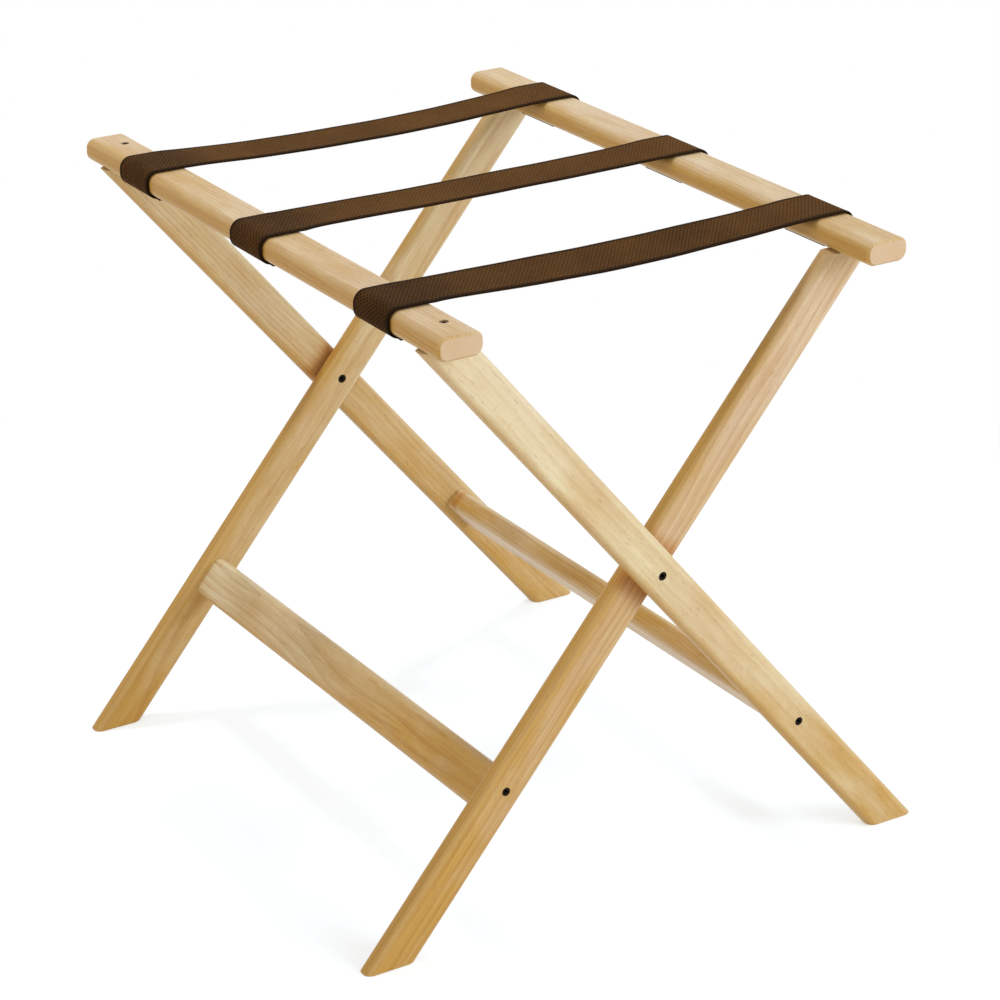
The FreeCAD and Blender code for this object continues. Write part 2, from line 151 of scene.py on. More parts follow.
class BENCH_PG_webbing(bpy.types.PropertyGroup):
    """Sizes and colours of the webbing straps"""

    width: bpy.props.FloatProperty(
        name="Width", description="Across a strap", default=STRAP_HIGH.y - STRAP_LOW.y,
        min=0.01, max=0.1, unit="LENGTH")
    thickness: bpy.props.FloatProperty(
        name="Thickness", description="Of one layer of webbing", default=0.002,
        min=0.0005, max=0.005, unit="LENGTH")
    clearance: bpy.props.FloatProperty(
        name="Clearance", description="Between webbing and wood", default=0.0003,
        min=0, max=0.002, unit="LENGTH")
    sag: bpy.props.FloatProperty(
        name="Sag", description="Middle of a strap below the rails' tops", default=0.0045,
        min=0, max=0.05, unit="LENGTH")
    cupping: bpy.props.FloatProperty(
        name="Cupping", description="Selvages above the strap's middle between the rails",
        default=0.0007, min=0, max=0.003, unit="LENGTH")
    spread: bpy.props.FloatProperty(
        name="Spread", description="How much further each side reaches where it is pressed on wood",
        default=0.0020, min=0, max=0.004, unit="LENGTH")
    end_inset: bpy.props.FloatProperty(
        name="End inset", description="Folded end to the rail's inboard rounding",
        default=0.003, min=0, max=0.02, unit="LENGTH")
    hem: bpy.props.FloatProperty(
        name="Hem", description="Length of the doubled end", default=0.018,
        min=0.005, max=0.05, unit="LENGTH")
    column_pitch: bpy.props.FloatProperty(
        name="Warp pitch", description="Between two columns of warp yarn", default=0.0021,
        min=0.0005, max=0.01, unit="LENGTH")
    pick_pitch: bpy.props.FloatProperty(
        name="Pick pitch", description="Between two crossings of the weft", default=0.0034,
        min=0.0005, max=0.01, unit="LENGTH")
    yarn: bpy.props.FloatVectorProperty(
        name="Yarn", description="Brown warp yarn", subtype="COLOR",
        size=3, min=0, max=1, default=linear("70502C"))
    # Painted shade between the yarns and on their lower parts, and also the darkest tone of uneven
    # yarn.
    shade: bpy.props.FloatVectorProperty(
        name="Shade", description="Between the yarns", subtype="COLOR",
        size=3, min=0, max=1, default=linear("281A0D"))
    selvage: bpy.props.FloatVectorProperty(
        name="Selvage", description="Tight yarns along both edges", subtype="COLOR",
        size=3, min=0, max=1, default=linear("20150D"))


class BENCH_PG_fixings(bpy.types.PropertyGroup):
    """Colours of the screws, sleeve nuts, staples and washers"""

    oxide: bpy.props.FloatVectorProperty(
        name="Black oxide", description="Screws and sleeve nuts", subtype="COLOR",
        size=3, min=0, max=1, default=linear("2A2622"))
    # Painted reflection: the brownish grey given to heads that face up.
    painted_reflection: bpy.props.FloatVectorProperty(
        name="Painted reflection on oxide", description="Screw heads on the rails' tops", subtype="COLOR",
        size=3, min=0, max=1, default=linear("6E604C"))
    zinc: bpy.props.FloatVectorProperty(
        name="Zinc", description="Staples", subtype="COLOR",
        size=3, min=0, max=1, default=linear("B4B6B6"))
    nylon: bpy.props.FloatVectorProperty(
        name="Nylon", description="Washers between the legs", subtype="COLOR",
        size=3, min=0, max=1, default=linear("DCD5C4"))


class BENCH_PG_stage(bpy.types.PropertyGroup):
    """Camera and light of the studio"""

    azimuth: bpy.props.FloatProperty(
        name="Azimuth", description="Of the camera, from the front towards +X",
        default=math.radians(-31.501), subtype="ANGLE")
    elevation: bpy.props.FloatProperty(
        name="Elevation", description="Of the camera above the floor",
        default=math.radians(23.152), subtype="ANGLE")
    roll: bpy.props.FloatProperty(
        name="Roll", description="Of the camera about its view",
        default=math.radians(-0.565), subtype="ANGLE")
    aim: bpy.props.FloatVectorProperty(
        name="Aim", description="Middle of the camera's view", subtype="XYZ", unit="LENGTH",
        size=3, default=(-0.00263, -0.03532, 0.2550))
    distance: bpy.props.FloatProperty(
        name="Distance", description="From the camera to its aim", default=2.5367,
        min=0.5, max=10, unit="LENGTH")
    lens: bpy.props.FloatProperty(
        name="Lens", description="Focal length in millimetres on a 36 mm sensor",
        default=114.215, min=10, max=300)
    key_power: bpy.props.FloatProperty(
        name="Key", description="Softbox at the front right, in watts", default=89, min=0,
        max=500)
    top_power: bpy.props.FloatProperty(
        name="Top", description="Small softbox overhead, in watts", default=8.6, min=0, max=500)
    side_power: bpy.props.FloatProperty(
        name="Side", description="Large warm softbox at the left, in watts", default=12, min=0,
        max=500)
    fill: bpy.props.FloatProperty(
        name="Fill", description="Light that comes from all round", default=0.535, min=0, max=2)
    floor: bpy.props.FloatVectorProperty(
        name="Floor", description="Painted studio floor as the eye sees it", subtype="COLOR",
        size=3, min=0, max=1, default=linear("D1E6FF"))
    glow: bpy.props.FloatProperty(
        name="Glow", description="How far the floor near the bench is lifted to white, to the eye",
        default=0.53, min=0, max=1, subtype="FACTOR")
    bounce: bpy.props.FloatVectorProperty(
        name="Bounce", description="What the floor throws back on the bench", subtype="COLOR",
        size=3, min=0, max=1, default=linear("EBE0CE"))


# ---- Beech ----
WANDER_PER_M = (9.0, 9.0, 3.0)
WANDER = 0.022
RING_SHARPNESS = 2.6
STREAK_SLIMNESS = 0.022
FLECKS_PER_M = (950.0, 950.0, 150.0)
PATCHES_PER_M = (36.0, 36.0, 13.0)
# How strongly each part of the wood's look shows, from 0 to 1.
# Painted shade on the shaded narrow face.
SHADE_SIDE_HONEY = 0.64
BLUSH_SPREAD = 0.30
RING_SHARE = 0.40
STREAK_SHARE = 0.46
FLECK_SHARE = 0.30
CUT_END_SHARE = 0.70
WORN_SHARE = 0.25
# Painted shade beside the joints: how dark it gets, and how far it reaches on the legs and stretchers.
CONTACT_SHADE_SHARE = 0.60
LEG_SHADE_REACH = 0.016
STRETCHER_SHADE_REACH = 0.007


class Seat(NamedTuple):
    """Where another board lies against a board"""

    along: float  # its middle, along the board from the board's own
    half: float  # half its length
    reach: float  # how far the painted shade spreads from its ends
    face: float  # the sign of the face along Y that it is on, or 0 for all round


class Board(NamedTuple):
    """A board's shape, how its wood grew, and where it gets painted shade"""

    turn: tuple  # takes its length to Z
    middle: Vector
    half: tuple  # half its section and half its length
    radius: float  # of its long edges
    pith: tuple  # from the heart of the tree to the board's middle
    honey: tuple  # how far its lower or front end, and its other end, lean to the honey colour; on a leg the lower end's lean is painted shade, darker towards the floor
    rosy: float
    figure: float  # how strongly its rings and streaks show
    shade_side: int  # the sign of its narrow face that gets painted shade
    seat: Seat | None


def leg_board(side, y_box, pith, honey, rosy, figure):
    middle = Vector((-side * (LEG_FOOT_X - LEG_HEAD_X) / 2, (y_box[0].y + y_box[1].y) / 2,
                     LEG_HEAD_Z / 2))
    half = (LEG_WIDTH / 2, LEG_THICKNESS / 2, LEG_HEAD_Z / math.cos(LEG_SLANT) / 2)
    pivot = LEG_HEAD_Z * LEG_FOOT_X / (LEG_FOOT_X + LEG_HEAD_X)
    seat = Seat((pivot - middle.z) / math.cos(LEG_SLANT), LEG_WIDTH / 2, LEG_SHADE_REACH,
                math.copysign(1, side * middle.y))
    return Board((0, -side * LEG_SLANT, 0), middle, half, LEG_EDGE_RADIUS, pith, honey, rosy,
                 figure, -1, seat)


def rail_board(side, pith, honey, rosy, figure):
    middle = Vector((side * (RAIL_LOW.x + RAIL_HIGH.x) / 2, 0, (RAIL_LOW.z + RAIL_HIGH.z) / 2))
    half = ((RAIL_HIGH.x - RAIL_LOW.x) / 2, (RAIL_HIGH.z - RAIL_LOW.z) / 2, RAIL_HIGH.y)
    return Board((math.pi / 2, 0, 0), middle, half, RAIL_EDGE_RADIUS, pith, honey, rosy,
                 figure, -1, None)


def stretcher_board(side, pith, honey, rosy, figure):
    share = STRETCHER_HEIGHT / LEG_HEAD_Z
    middle = Vector((side * (LEG_HEAD_X * share - LEG_FOOT_X * (1 - share)), 0, STRETCHER_HEIGHT))
    half = (STRETCHER_THICKNESS / 2, STRETCHER_WIDTH / 2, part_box("stretcher_inner")[1].y)
    # The legs are the seats at its two ends.
    seat = Seat(0, half[2], STRETCHER_SHADE_REACH, 0)
    return Board((math.pi / 2, 0, -side * LEG_SLANT), middle, half, STRETCHER_EDGE_RADIUS, pith,
                 honey, rosy, figure, side, seat)


BOARDS = {
    "rail_outer": rail_board(OUTER, (0.061, 0.043, 0.31), (0.50, 0.62), 0.66, 0.90),
    "rail_inner": rail_board(INNER, (-0.052, 0.070, 1.27), (0.48, 0.34), 0.66, 0.85),
    "stretcher_outer": stretcher_board(OUTER, (0.090, -0.022, 2.10), (0.27, 0.05), 0.60, 1.0),
    "stretcher_inner": stretcher_board(INNER, (0.074, 0.018, 3.45), (0.95, 0.20), 0.05, 1.0),
    "leg_outer_front": leg_board(OUTER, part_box("leg_outer_front"), (0.026, 0.083, 4.20),
                                 (0.76, -0.06), 0.04, 0.46),
    "leg_outer_back": leg_board(OUTER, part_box("leg_outer_back"), (-0.047, 0.064, 5.05),
                                (0.92, 0.22), 0.15, 0.85),
    "leg_inner_front": leg_board(INNER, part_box("leg_inner_front"), (0.038, -0.077, 6.60),
                                 (1.14, 0.06), 0.80, 1.0),
    "leg_inner_back": leg_board(INNER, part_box("leg_inner_back"), (-0.019, -0.090, 7.35),
                                (0.92, 0.08), 0.15, 0.85),
}


def bent_grain(tree, log):
    """The points of the log, moved as its grain bends."""
    # The trunk isn't straight: rings wander by a few millimetres over a hand's length.
    bend = add_node(tree, "ShaderNodeVectorMath", {0: log, 1: WANDER_PER_M}, operation="MULTIPLY")
    bend = add_node(tree, "ShaderNodeTexNoise", {
        "Vector": bend.outputs["Vector"], "Scale": 1.0, "Detail": 2.0, "Roughness": 0.5})
    bend = add_node(tree, "ShaderNodeVectorMath", {
        0: bend.outputs["Color"], 1: (0.5, 0.5, 0.5)}, operation="SUBTRACT")
    bend = add_node(tree, "ShaderNodeVectorMath", {
        0: bend.outputs["Vector"], 1: (WANDER, WANDER, 0.0)}, operation="MULTIPLY")
    bent = add_node(tree, "ShaderNodeVectorMath", {
        0: log, 1: bend.outputs["Vector"]}, operation="ADD")
    return bent.outputs["Vector"]


def growth_rings(tree, grain, ring_width):
    """How far each point is into the latewood of its ring."""
    across = add_node(tree, "ShaderNodeVectorMath", {
        0: grain, 1: (1.0, 1.0, 0.0)}, operation="MULTIPLY")
    reach = add_node(tree, "ShaderNodeVectorMath", {
        0: across.outputs["Vector"]}, operation="LENGTH")
    rings = add_node(tree, "ShaderNodeMath", {
        0: reach.outputs["Value"], 1: ring_width}, operation="DIVIDE")
    ring = add_node(tree, "ShaderNodeMath", {0: rings.outputs["Value"]}, operation="FRACT")
    # A ring darkens slowly and ends sharply.
    latewood = add_node(tree, "ShaderNodeMath", {
        0: ring.outputs["Value"], 1: RING_SHARPNESS}, operation="POWER")
    return latewood.outputs["Value"]


def worn_edges(tree, board, shape):
    """How worn each point is, most along the middle of the long edges' rounding."""
    corner = add_node(tree, "ShaderNodeVectorMath", {0: board}, operation="ABSOLUTE")
    corner = add_node(tree, "ShaderNodeSeparateXYZ", {"Vector": corner.outputs["Vector"]})
    edge_x, edge_y = [add_node(tree, "ShaderNodeMapRange", {
        "Value": corner.outputs[i], "From Min": shape.half[i] - shape.radius,
        "From Max": shape.half[i]}, interpolation_type="SMOOTHSTEP") for i in range(2)]
    worn = add_node(tree, "ShaderNodeMath", {
        0: edge_x.outputs["Result"], 1: edge_y.outputs["Result"]}, operation="MULTIPLY")
    worn = add_node(tree, "ShaderNodeMath", {
        0: worn.outputs["Value"], 1: WORN_SHARE}, operation="MULTIPLY")
    return worn.outputs["Value"]


def contact_shading(tree, along, facing_y, seat):
    """How much painted shade each point gets beside a seat, on the seat's own face."""
    near = add_node(tree, "ShaderNodeMath", {0: along, 1: seat.along}, operation="SUBTRACT")
    near = add_node(tree, "ShaderNodeMath", {0: near.outputs["Value"]}, operation="ABSOLUTE")
    near = add_node(tree, "ShaderNodeMath", {
        0: near.outputs["Value"], 1: seat.half}, operation="SUBTRACT")
    near = add_node(tree, "ShaderNodeMath", {0: near.outputs["Value"]}, operation="ABSOLUTE")
    near = add_node(tree, "ShaderNodeMapRange", {
        "Value": near.outputs["Value"], "From Max": seat.reach, "To Min": CONTACT_SHADE_SHARE,
        "To Max": 0.0}, interpolation_type="SMOOTHSTEP")
    if not seat.face:
        return near.outputs["Result"]
    towards = add_node(tree, "ShaderNodeMapRange", {
        "Value": facing_y, "From Min": -0.25 * seat.face, "From Max": 0.4 * seat.face})
    near = add_node(tree, "ShaderNodeMath", {
        0: near.outputs["Result"], 1: towards.outputs["Result"]}, operation="MULTIPLY")
    return near.outputs["Value"]


def lacquered_beech(board_name, settings):
    """Planed and sanded beech under clear satin lacquer: pale cream to honey, with faint growth rings,
    long streaks of fibre and short brown ray flecks; the lacquer adds a soft even sheen."""
    shape = BOARDS[board_name]
    half = shape.half
    material = empty_material("Beech, planed and lacquered, " + board_name)
    tree = material.node_tree

    place = add_node(tree, "ShaderNodeTexCoord")
    # On the board: X across its width or thickness, Y across the other, Z along the grain.
    board = add_node(tree, "ShaderNodeMapping", {
        "Vector": place.outputs["Object"], "Rotation": shape.turn,
        "Location": -(Euler(shape.turn).to_matrix() @ shape.middle)})
    lengthwise = add_node(tree, "ShaderNodeSeparateXYZ", {"Vector": board.outputs["Vector"]})
    facing = add_node(tree, "ShaderNodeMapping", {
        "Vector": place.outputs["Normal"], "Rotation": shape.turn}, vector_type="NORMAL")
    facing = add_node(tree, "ShaderNodeSeparateXYZ", {"Vector": facing.outputs["Vector"]})
    log = add_node(tree, "ShaderNodeVectorMath", {
        0: board.outputs["Vector"], 1: shape.pith}, operation="ADD")
    grain = bent_grain(tree, log.outputs["Vector"])

    # A streak of fibres is about 45 times as long as it is wide.
    across = 1.0 / settings.fibre_width
    streaks = add_node(tree, "ShaderNodeVectorMath", {
        0: grain, 1: (across, across, across * STREAK_SLIMNESS)}, operation="MULTIPLY")
    streaks = add_node(tree, "ShaderNodeTexNoise", {
        "Vector": streaks.outputs["Vector"], "Scale": 1.0, "Detail": 4.0, "Roughness": 0.62})
    # Ray flecks of beech are 0.1 mm across, drawn ten times as coarse so that they show.
    flecks = add_node(tree, "ShaderNodeVectorMath", {
        0: grain, 1: FLECKS_PER_M}, operation="MULTIPLY")
    flecks = add_node(tree, "ShaderNodeTexNoise", {
        "Vector": flecks.outputs["Vector"], "Scale": 1.0, "Detail": 1.0})
    flecks = add_node(tree, "ShaderNodeMapRange", {
        "Value": flecks.outputs["Fac"], "From Min": 0.62, "From Max": 0.76})
    patches = add_node(tree, "ShaderNodeVectorMath", {
        0: log.outputs["Vector"], 1: PATCHES_PER_M}, operation="MULTIPLY")
    patches = add_node(tree, "ShaderNodeTexNoise", {
        "Vector": patches.outputs["Vector"], "Scale": 1.0, "Detail": 3.0, "Roughness": 0.55})

    clouds = add_node(tree, "ShaderNodeMapRange", {
        "Value": patches.outputs["Fac"], "From Min": 0.32, "From Max": 0.70,
        "To Min": -0.26, "To Max": 0.30})
    # On the legs the lean to honey towards the feet is painted shade, darker towards the floor; along
    # the rails and stretchers it is the board's tone.
    warmth = add_node(tree, "ShaderNodeMapRange", {
        "Value": lengthwise.outputs["Z"], "From Min": -half[2], "From Max": half[2],
        "To Min": shape.honey[0], "To Max": shape.honey[1]})
    warmth = add_node(tree, "ShaderNodeMath", {
        0: warmth.outputs["Result"], 1: clouds.outputs["Result"]}, operation="ADD")
    # Painted shade: the narrow face on the board's shaded side leans further to the honey colour.
    narrow = add_node(tree, "ShaderNodeMapRange", {
        "Value": facing.outputs["X" if half[0] > half[1] else "Y"],
        "From Max": shape.shade_side})
    warmth = add_node(tree, "ShaderNodeMath", {
        0: narrow.outputs["Result"], 1: SHADE_SIDE_HONEY, 2: warmth.outputs["Value"]},
        operation="MULTIPLY_ADD", use_clamp=True)
    blush = add_node(tree, "ShaderNodeSeparateColor", {"Color": patches.outputs["Color"]})
    blush = add_node(tree, "ShaderNodeMapRange", {
        "Value": blush.outputs["Green"], "From Min": 0.35, "From Max": 0.65,
        "To Min": max(0.0, shape.rosy - BLUSH_SPREAD),
        "To Max": min(1.0, shape.rosy + BLUSH_SPREAD)})
    rings = add_node(tree, "ShaderNodeMath", {
        0: growth_rings(tree, grain, settings.ring_width), 1: RING_SHARE * shape.figure},
        operation="MULTIPLY")
    fibres = add_node(tree, "ShaderNodeMapRange", {
        "Value": streaks.outputs["Fac"], "From Min": 0.40, "From Max": 0.72,
        "To Max": STREAK_SHARE * shape.figure})
    rays = add_node(tree, "ShaderNodeMath", {
        0: flecks.outputs["Result"], 1: FLECK_SHARE}, operation="MULTIPLY")
    endwise = add_node(tree, "ShaderNodeMath", {0: facing.outputs["Z"]}, operation="ABSOLUTE")
    cut_end = add_node(tree, "ShaderNodeMapRange", {
        "Value": endwise.outputs["Value"], "From Min": 0.86, "From Max": 0.97,
        "To Max": CUT_END_SHARE})
    layers = [
        (blush.outputs["Result"], settings.rose, "MIX"),
        (warmth.outputs["Value"], settings.honey, "MIX"),
        (rings.outputs["Value"], settings.latewood, "MULTIPLY"),
        (fibres.outputs["Result"], settings.latewood, "MULTIPLY"),
        (rays.outputs["Value"], settings.fleck, "MIX"),
        # Cut ends drink more lacquer and turn pinker.
        (cut_end.outputs["Result"], settings.end_grain, "MIX"),
        # Hands and bags polish the rounded long edges a little paler.
        (worn_edges(tree, board.outputs["Vector"], shape), settings.pale, "MIX"),
    ]
    # Painted shade: the wood is darkened close to the seat of another board, where that board shades
    # it.
    if shape.seat:
        contact_shaded = contact_shading(tree, lengthwise.outputs["Z"], facing.outputs["Y"], shape.seat)
        layers.append((contact_shaded, settings.contact_shade, "MULTIPLY"))
    wood = opaque(settings.pale)
    for share, colour, blend in layers:
        wood = add_node(tree, "ShaderNodeMix", {
            "Factor": share, "A": wood, "B": opaque(colour)}, data_type="RGBA",
            blend_type=blend).outputs["Result"]

    relief = add_node(tree, "ShaderNodeMath", {
        0: flecks.outputs["Result"], 1: -0.7, 2: streaks.outputs["Fac"]},
        operation="MULTIPLY_ADD")
    relief = add_node(tree, "ShaderNodeBump", {
        "Height": relief.outputs["Value"], "Strength": 0.12, "Distance": 0.0002})
    dullness = add_node(tree, "ShaderNodeMapRange", {
        "Value": streaks.outputs["Fac"], "From Min": 0.3, "From Max": 0.7,
        "To Min": 0.42, "To Max": 0.54})
    surface = add_node(tree, "ShaderNodeBsdfPrincipled", {
        "Base Color": wood, "Roughness": dullness.outputs["Result"],
        "IOR": 1.50, "Specular IOR Level": 0.36, "Normal": relief.outputs["Normal"],
        "Coat Weight": 0.16, "Coat Roughness": settings.lacquer_roughness, "Coat IOR": 1.50})
    add_node(tree, "ShaderNodeOutputMaterial", {"Surface": surface.outputs["BSDF"]})
    return material


# ---- Webbing ----
HAIRS_PER_M = (4800.0, 500.0, 1.0)
FADING_PER_M = 15.0
# How much each unevenness lightens the yarn, and the sums that give plain shade and plain yarn.
STITCH_LIGHT = 0.14
HAIR_LIGHT = 0.30
FADING_LIGHT = 0.85
SHADE_SUM = 0.50
YARN_SUM = 1.68
# The gap between the front strap and the middle one, and how much fading lightens either side.
FADED_Y = (-0.16, -0.03)
FADED_LIGHT = (-0.13, 0.06)
# From the outer rail's inboard side to here the darkening of the turn over that rail runs out.
OUTER_TURN_X = (-0.168, -0.130)
OUTER_TURN_LIGHT = -0.36
SELVAGE_WIDTH = (0.0026, 0.0048)
SELVAGE_SHARE = 0.85


def woven_webbing(settings):
    """Flat-woven synthetic webbing: plump matt brown yarns in shifted columns with painted shade in the
    gaps, darker tight selvages, and a slight fading from use."""
    material = empty_material("Polypropylene webbing, woven")
    tree = material.node_tree
    lay = add_node(tree, "ShaderNodeUVMap", uv_map="webbing_lay")
    lay = add_node(tree, "ShaderNodeSeparateXYZ", {"Vector": lay.outputs["UV"]})
    columns = add_node(tree, "ShaderNodeMath", {
        0: lay.outputs["X"], 1: settings.column_pitch}, operation="DIVIDE")
    column = add_node(tree, "ShaderNodeMath", {0: columns.outputs["Value"]}, operation="FLOOR")
    in_column = add_node(tree, "ShaderNodeMath", {
        0: columns.outputs["Value"]}, operation="FRACT")
    # Each second column is shifted by half a pick, as in a plain weave.
    shift = add_node(tree, "ShaderNodeMath", {
        0: column.outputs["Value"], 1: 0.5}, operation="MULTIPLY")
    picks = add_node(tree, "ShaderNodeMath", {
        0: lay.outputs["Y"], 1: 1.0 / settings.pick_pitch, 2: shift.outputs["Value"]},
        operation="MULTIPLY_ADD")
    pick = add_node(tree, "ShaderNodeMath", {0: picks.outputs["Value"]}, operation="FLOOR")
    in_pick = add_node(tree, "ShaderNodeMath", {0: picks.outputs["Value"]}, operation="FRACT")
    arch = []
    for part in (in_column, in_pick):
        turned = add_node(tree, "ShaderNodeMath", {
            0: part.outputs["Value"], 1: math.pi}, operation="MULTIPLY")
        arch.append(add_node(tree, "ShaderNodeMath", {
            0: turned.outputs["Value"]}, operation="SINE"))
    yarn_height = add_node(tree, "ShaderNodeMath", {
        0: arch[0].outputs["Value"], 1: arch[1].outputs["Value"]}, operation="MULTIPLY")
    yarn_height = add_node(tree, "ShaderNodeMath", {
        0: yarn_height.outputs["Value"], 1: 0.55}, operation="POWER")

    # Filaments inside a yarn, a tenth of its width.
    hairs = add_node(tree, "ShaderNodeCombineXYZ", {
        "X": lay.outputs["X"], "Y": lay.outputs["Y"]})
    hairs = add_node(tree, "ShaderNodeVectorMath", {
        0: hairs.outputs["Vector"], 1: HAIRS_PER_M}, operation="MULTIPLY")
    hairs = add_node(tree, "ShaderNodeTexNoise", {
        "Vector": hairs.outputs["Vector"], "Scale": 1.0, "Detail": 2.0})
    stitch = add_node(tree, "ShaderNodeCombineXYZ", {
        "X": column.outputs["Value"], "Y": pick.outputs["Value"]})
    stitch = add_node(tree, "ShaderNodeTexWhiteNoise", {"Vector": stitch.outputs["Vector"]})
    place = add_node(tree, "ShaderNodeTexCoord")
    fading = add_node(tree, "ShaderNodeTexNoise", {
        "Vector": place.outputs["Object"], "Scale": FADING_PER_M, "Detail": 4.0,
        "Roughness": 0.6})
    # The front strap has faded least, and the webbing is darker in its turn over the outer rail.
    spot = add_node(tree, "ShaderNodeSeparateXYZ", {"Vector": place.outputs["Object"]})
    faded = add_node(tree, "ShaderNodeMapRange", {
        "Value": spot.outputs["Y"], "From Min": FADED_Y[0], "From Max": FADED_Y[1],
        "To Min": FADED_LIGHT[0], "To Max": FADED_LIGHT[1]})
    outer_turn = add_node(tree, "ShaderNodeMapRange", {
        "Value": spot.outputs["X"], "From Min": OUTER_TURN_X[0], "From Max": OUTER_TURN_X[1],
        "To Min": OUTER_TURN_LIGHT, "To Max": 0.0}, interpolation_type="SMOOTHSTEP")
    # Painted shade: the lower a point of the yarn, the nearer its colour is to the shade between the
    # yarns.
    lit = yarn_height.outputs["Value"]
    for unevenness, weight in (
            (stitch.outputs["Value"], STITCH_LIGHT), (hairs.outputs["Fac"], HAIR_LIGHT),
            (fading.outputs["Fac"], FADING_LIGHT), (faded.outputs["Result"], 1.0),
            (outer_turn.outputs["Result"], 1.0)):
        lit = add_node(tree, "ShaderNodeMath", {
            0: unevenness, 1: weight, 2: lit}, operation="MULTIPLY_ADD").outputs["Value"]
    lit = add_node(tree, "ShaderNodeMapRange", {
        "Value": lit, "From Min": SHADE_SUM, "From Max": YARN_SUM})
    colour = add_node(tree, "ShaderNodeMix", {
        "Factor": lit.outputs["Result"], "A": opaque(settings.shade),
        "B": opaque(settings.yarn)}, data_type="RGBA")
    aside = add_node(tree, "ShaderNodeMath", {0: lay.outputs["X"]}, operation="ABSOLUTE")
    edge = add_node(tree, "ShaderNodeMapRange", {
        "Value": aside.outputs["Value"], "From Min": settings.width / 2 - SELVAGE_WIDTH[1],
        "From Max": settings.width / 2 - SELVAGE_WIDTH[0], "To Max": SELVAGE_SHARE},
        interpolation_type="SMOOTHSTEP")
    colour = add_node(tree, "ShaderNodeMix", {
        "Factor": edge.outputs["Result"], "A": colour.outputs["Result"],
        "B": opaque(settings.selvage)}, data_type="RGBA")

    relief = add_node(tree, "ShaderNodeMath", {
        0: hairs.outputs["Fac"], 1: 0.22, 2: yarn_height.outputs["Value"]},
        operation="MULTIPLY_ADD")
    relief = add_node(tree, "ShaderNodeBump", {
        "Height": relief.outputs["Value"], "Strength": 0.55, "Distance": 0.0006})
    surface = add_node(tree, "ShaderNodeBsdfPrincipled", {
        "Base Color": colour.outputs["Result"], "Roughness": 0.82, "IOR": 1.49,
        "Specular IOR Level": 0.05, "Normal": relief.outputs["Normal"]})
    add_node(tree, "ShaderNodeOutputMaterial", {"Surface": surface.outputs["BSDF"]})
    return material


def arc_points(centre, radius, start, end, step):
    """Points in the XZ plane round an arc, its angles from straight up towards +X, without the last."""
    count = max(2, math.ceil(abs(end - start) * radius / step))
    angles = [start + (end - start) * i / count for i in range(count)]
    return [(centre[0] + radius * math.sin(a), centre[1] + radius * math.cos(a)) for a in angles]


def line_points(start, end, step):
    """Points along a straight run in the XZ plane, without the last."""
    count = max(1, math.ceil(math.dist(start, end) / step))
    return [(start[0] + (end[0] - start[0]) * i / count,
             start[1] + (end[1] - start[1]) * i / count) for i in range(count)]


# For each strap: how much lower its middle hangs than the plain sag, how much lower its front edge
# hangs than its back edge, and how far it is pulled forward at the outer rail.
STRAPS = {
    "front": (0.0, 0.0042, 0.0030),
    "middle": (-0.0020, 0.0, 0.0026),
    "back": (0.0020, 0.0, 0.0010),
}
# Close to a rail the webbing spreads, within about 15 mm.
SPREAD_POWER = 12
# The section's selvage as shares of half the width and half the thickness: where the bead lies, how
# wide it is, where the rounding begins, and how thick the flat part is.
SELVAGE_BEAD = 0.93
SELVAGE_BEAD_WIDTH = 0.045
SELVAGE_ROUNDING = 0.95
FLAT_THICKNESS = 0.90
SECTION_STEPS = 22


def strap_line(settings):
    """The webbing's middle line in the XZ plane, from the hem under the rail at -X to the one at +X."""
    gap = settings.clearance + settings.thickness / 2
    bend = RAIL_EDGE_RADIUS + gap
    inboard = RAIL_LOW.x + RAIL_EDGE_RADIUS
    outboard = RAIL_HIGH.x - RAIL_EDGE_RADIUS
    high = RAIL_HIGH.z - RAIL_EDGE_RADIUS
    low = RAIL_LOW.z + RAIL_EDGE_RADIUS
    lean = 2 * math.atan(settings.sag / inboard)
    sag_radius = inboard / math.sin(lean) - bend
    sag_centre = (0, high + (sag_radius + bend) * math.cos(lean))
    fold_x = inboard + settings.end_inset + settings.thickness
    fold_z = low - bend - settings.thickness / 2
    hem_end = (fold_x - settings.thickness + settings.hem, fold_z - settings.thickness / 2)
    half = arc_points(sag_centre, sag_radius, math.pi, math.pi - lean, 0.004)
    half += arc_points((inboard, high), bend, -lean, 0, 0.0007)
    half += line_points((inboard, high + bend), (outboard, high + bend), 0.002)
    half += arc_points((outboard, high), bend, 0, math.pi / 2, 0.0011)
    half += line_points((outboard + bend, high), (outboard + bend, low), 0.001)
    half += arc_points((outboard, low), bend, math.pi / 2, math.pi, 0.0011)
    half += line_points((outboard, low - bend), (fold_x, low - bend), 0.002)
    half += arc_points((fold_x, fold_z), settings.thickness / 2, 0, -math.pi, 0.0004)
    half += line_points((fold_x, hem_end[1]), hem_end, 0.002)
    half.append(hem_end)
    return [(-x, z) for x, z in reversed(half[1:])] + half


def webbing_section(settings):
    """One turn round the strap's section with rolled selvages: the place across it, and the height as a
    share of half the thickness."""
    ring = []
    for i in range(SECTION_STEPS + 1):
        even = 2 * i / SECTION_STEPS - 1
        # The points lie closer together at the selvages.
        across = 0.55 * even + 0.45 * math.sin(math.pi / 2 * even)
        beyond = max(0.0, abs(across) - SELVAGE_ROUNDING) / (1 - SELVAGE_ROUNDING)
        bead = math.exp(-((abs(across) - SELVAGE_BEAD) / SELVAGE_BEAD_WIDTH) ** 2)
        height = FLAT_THICKNESS + (1 - FLAT_THICKNESS) * bead
        ring.append((across * settings.width / 2, height * math.sqrt(max(0.0, 1 - beyond ** 2))))
    return ring + [(across, -height) for across, height in reversed(ring[1:-1])]


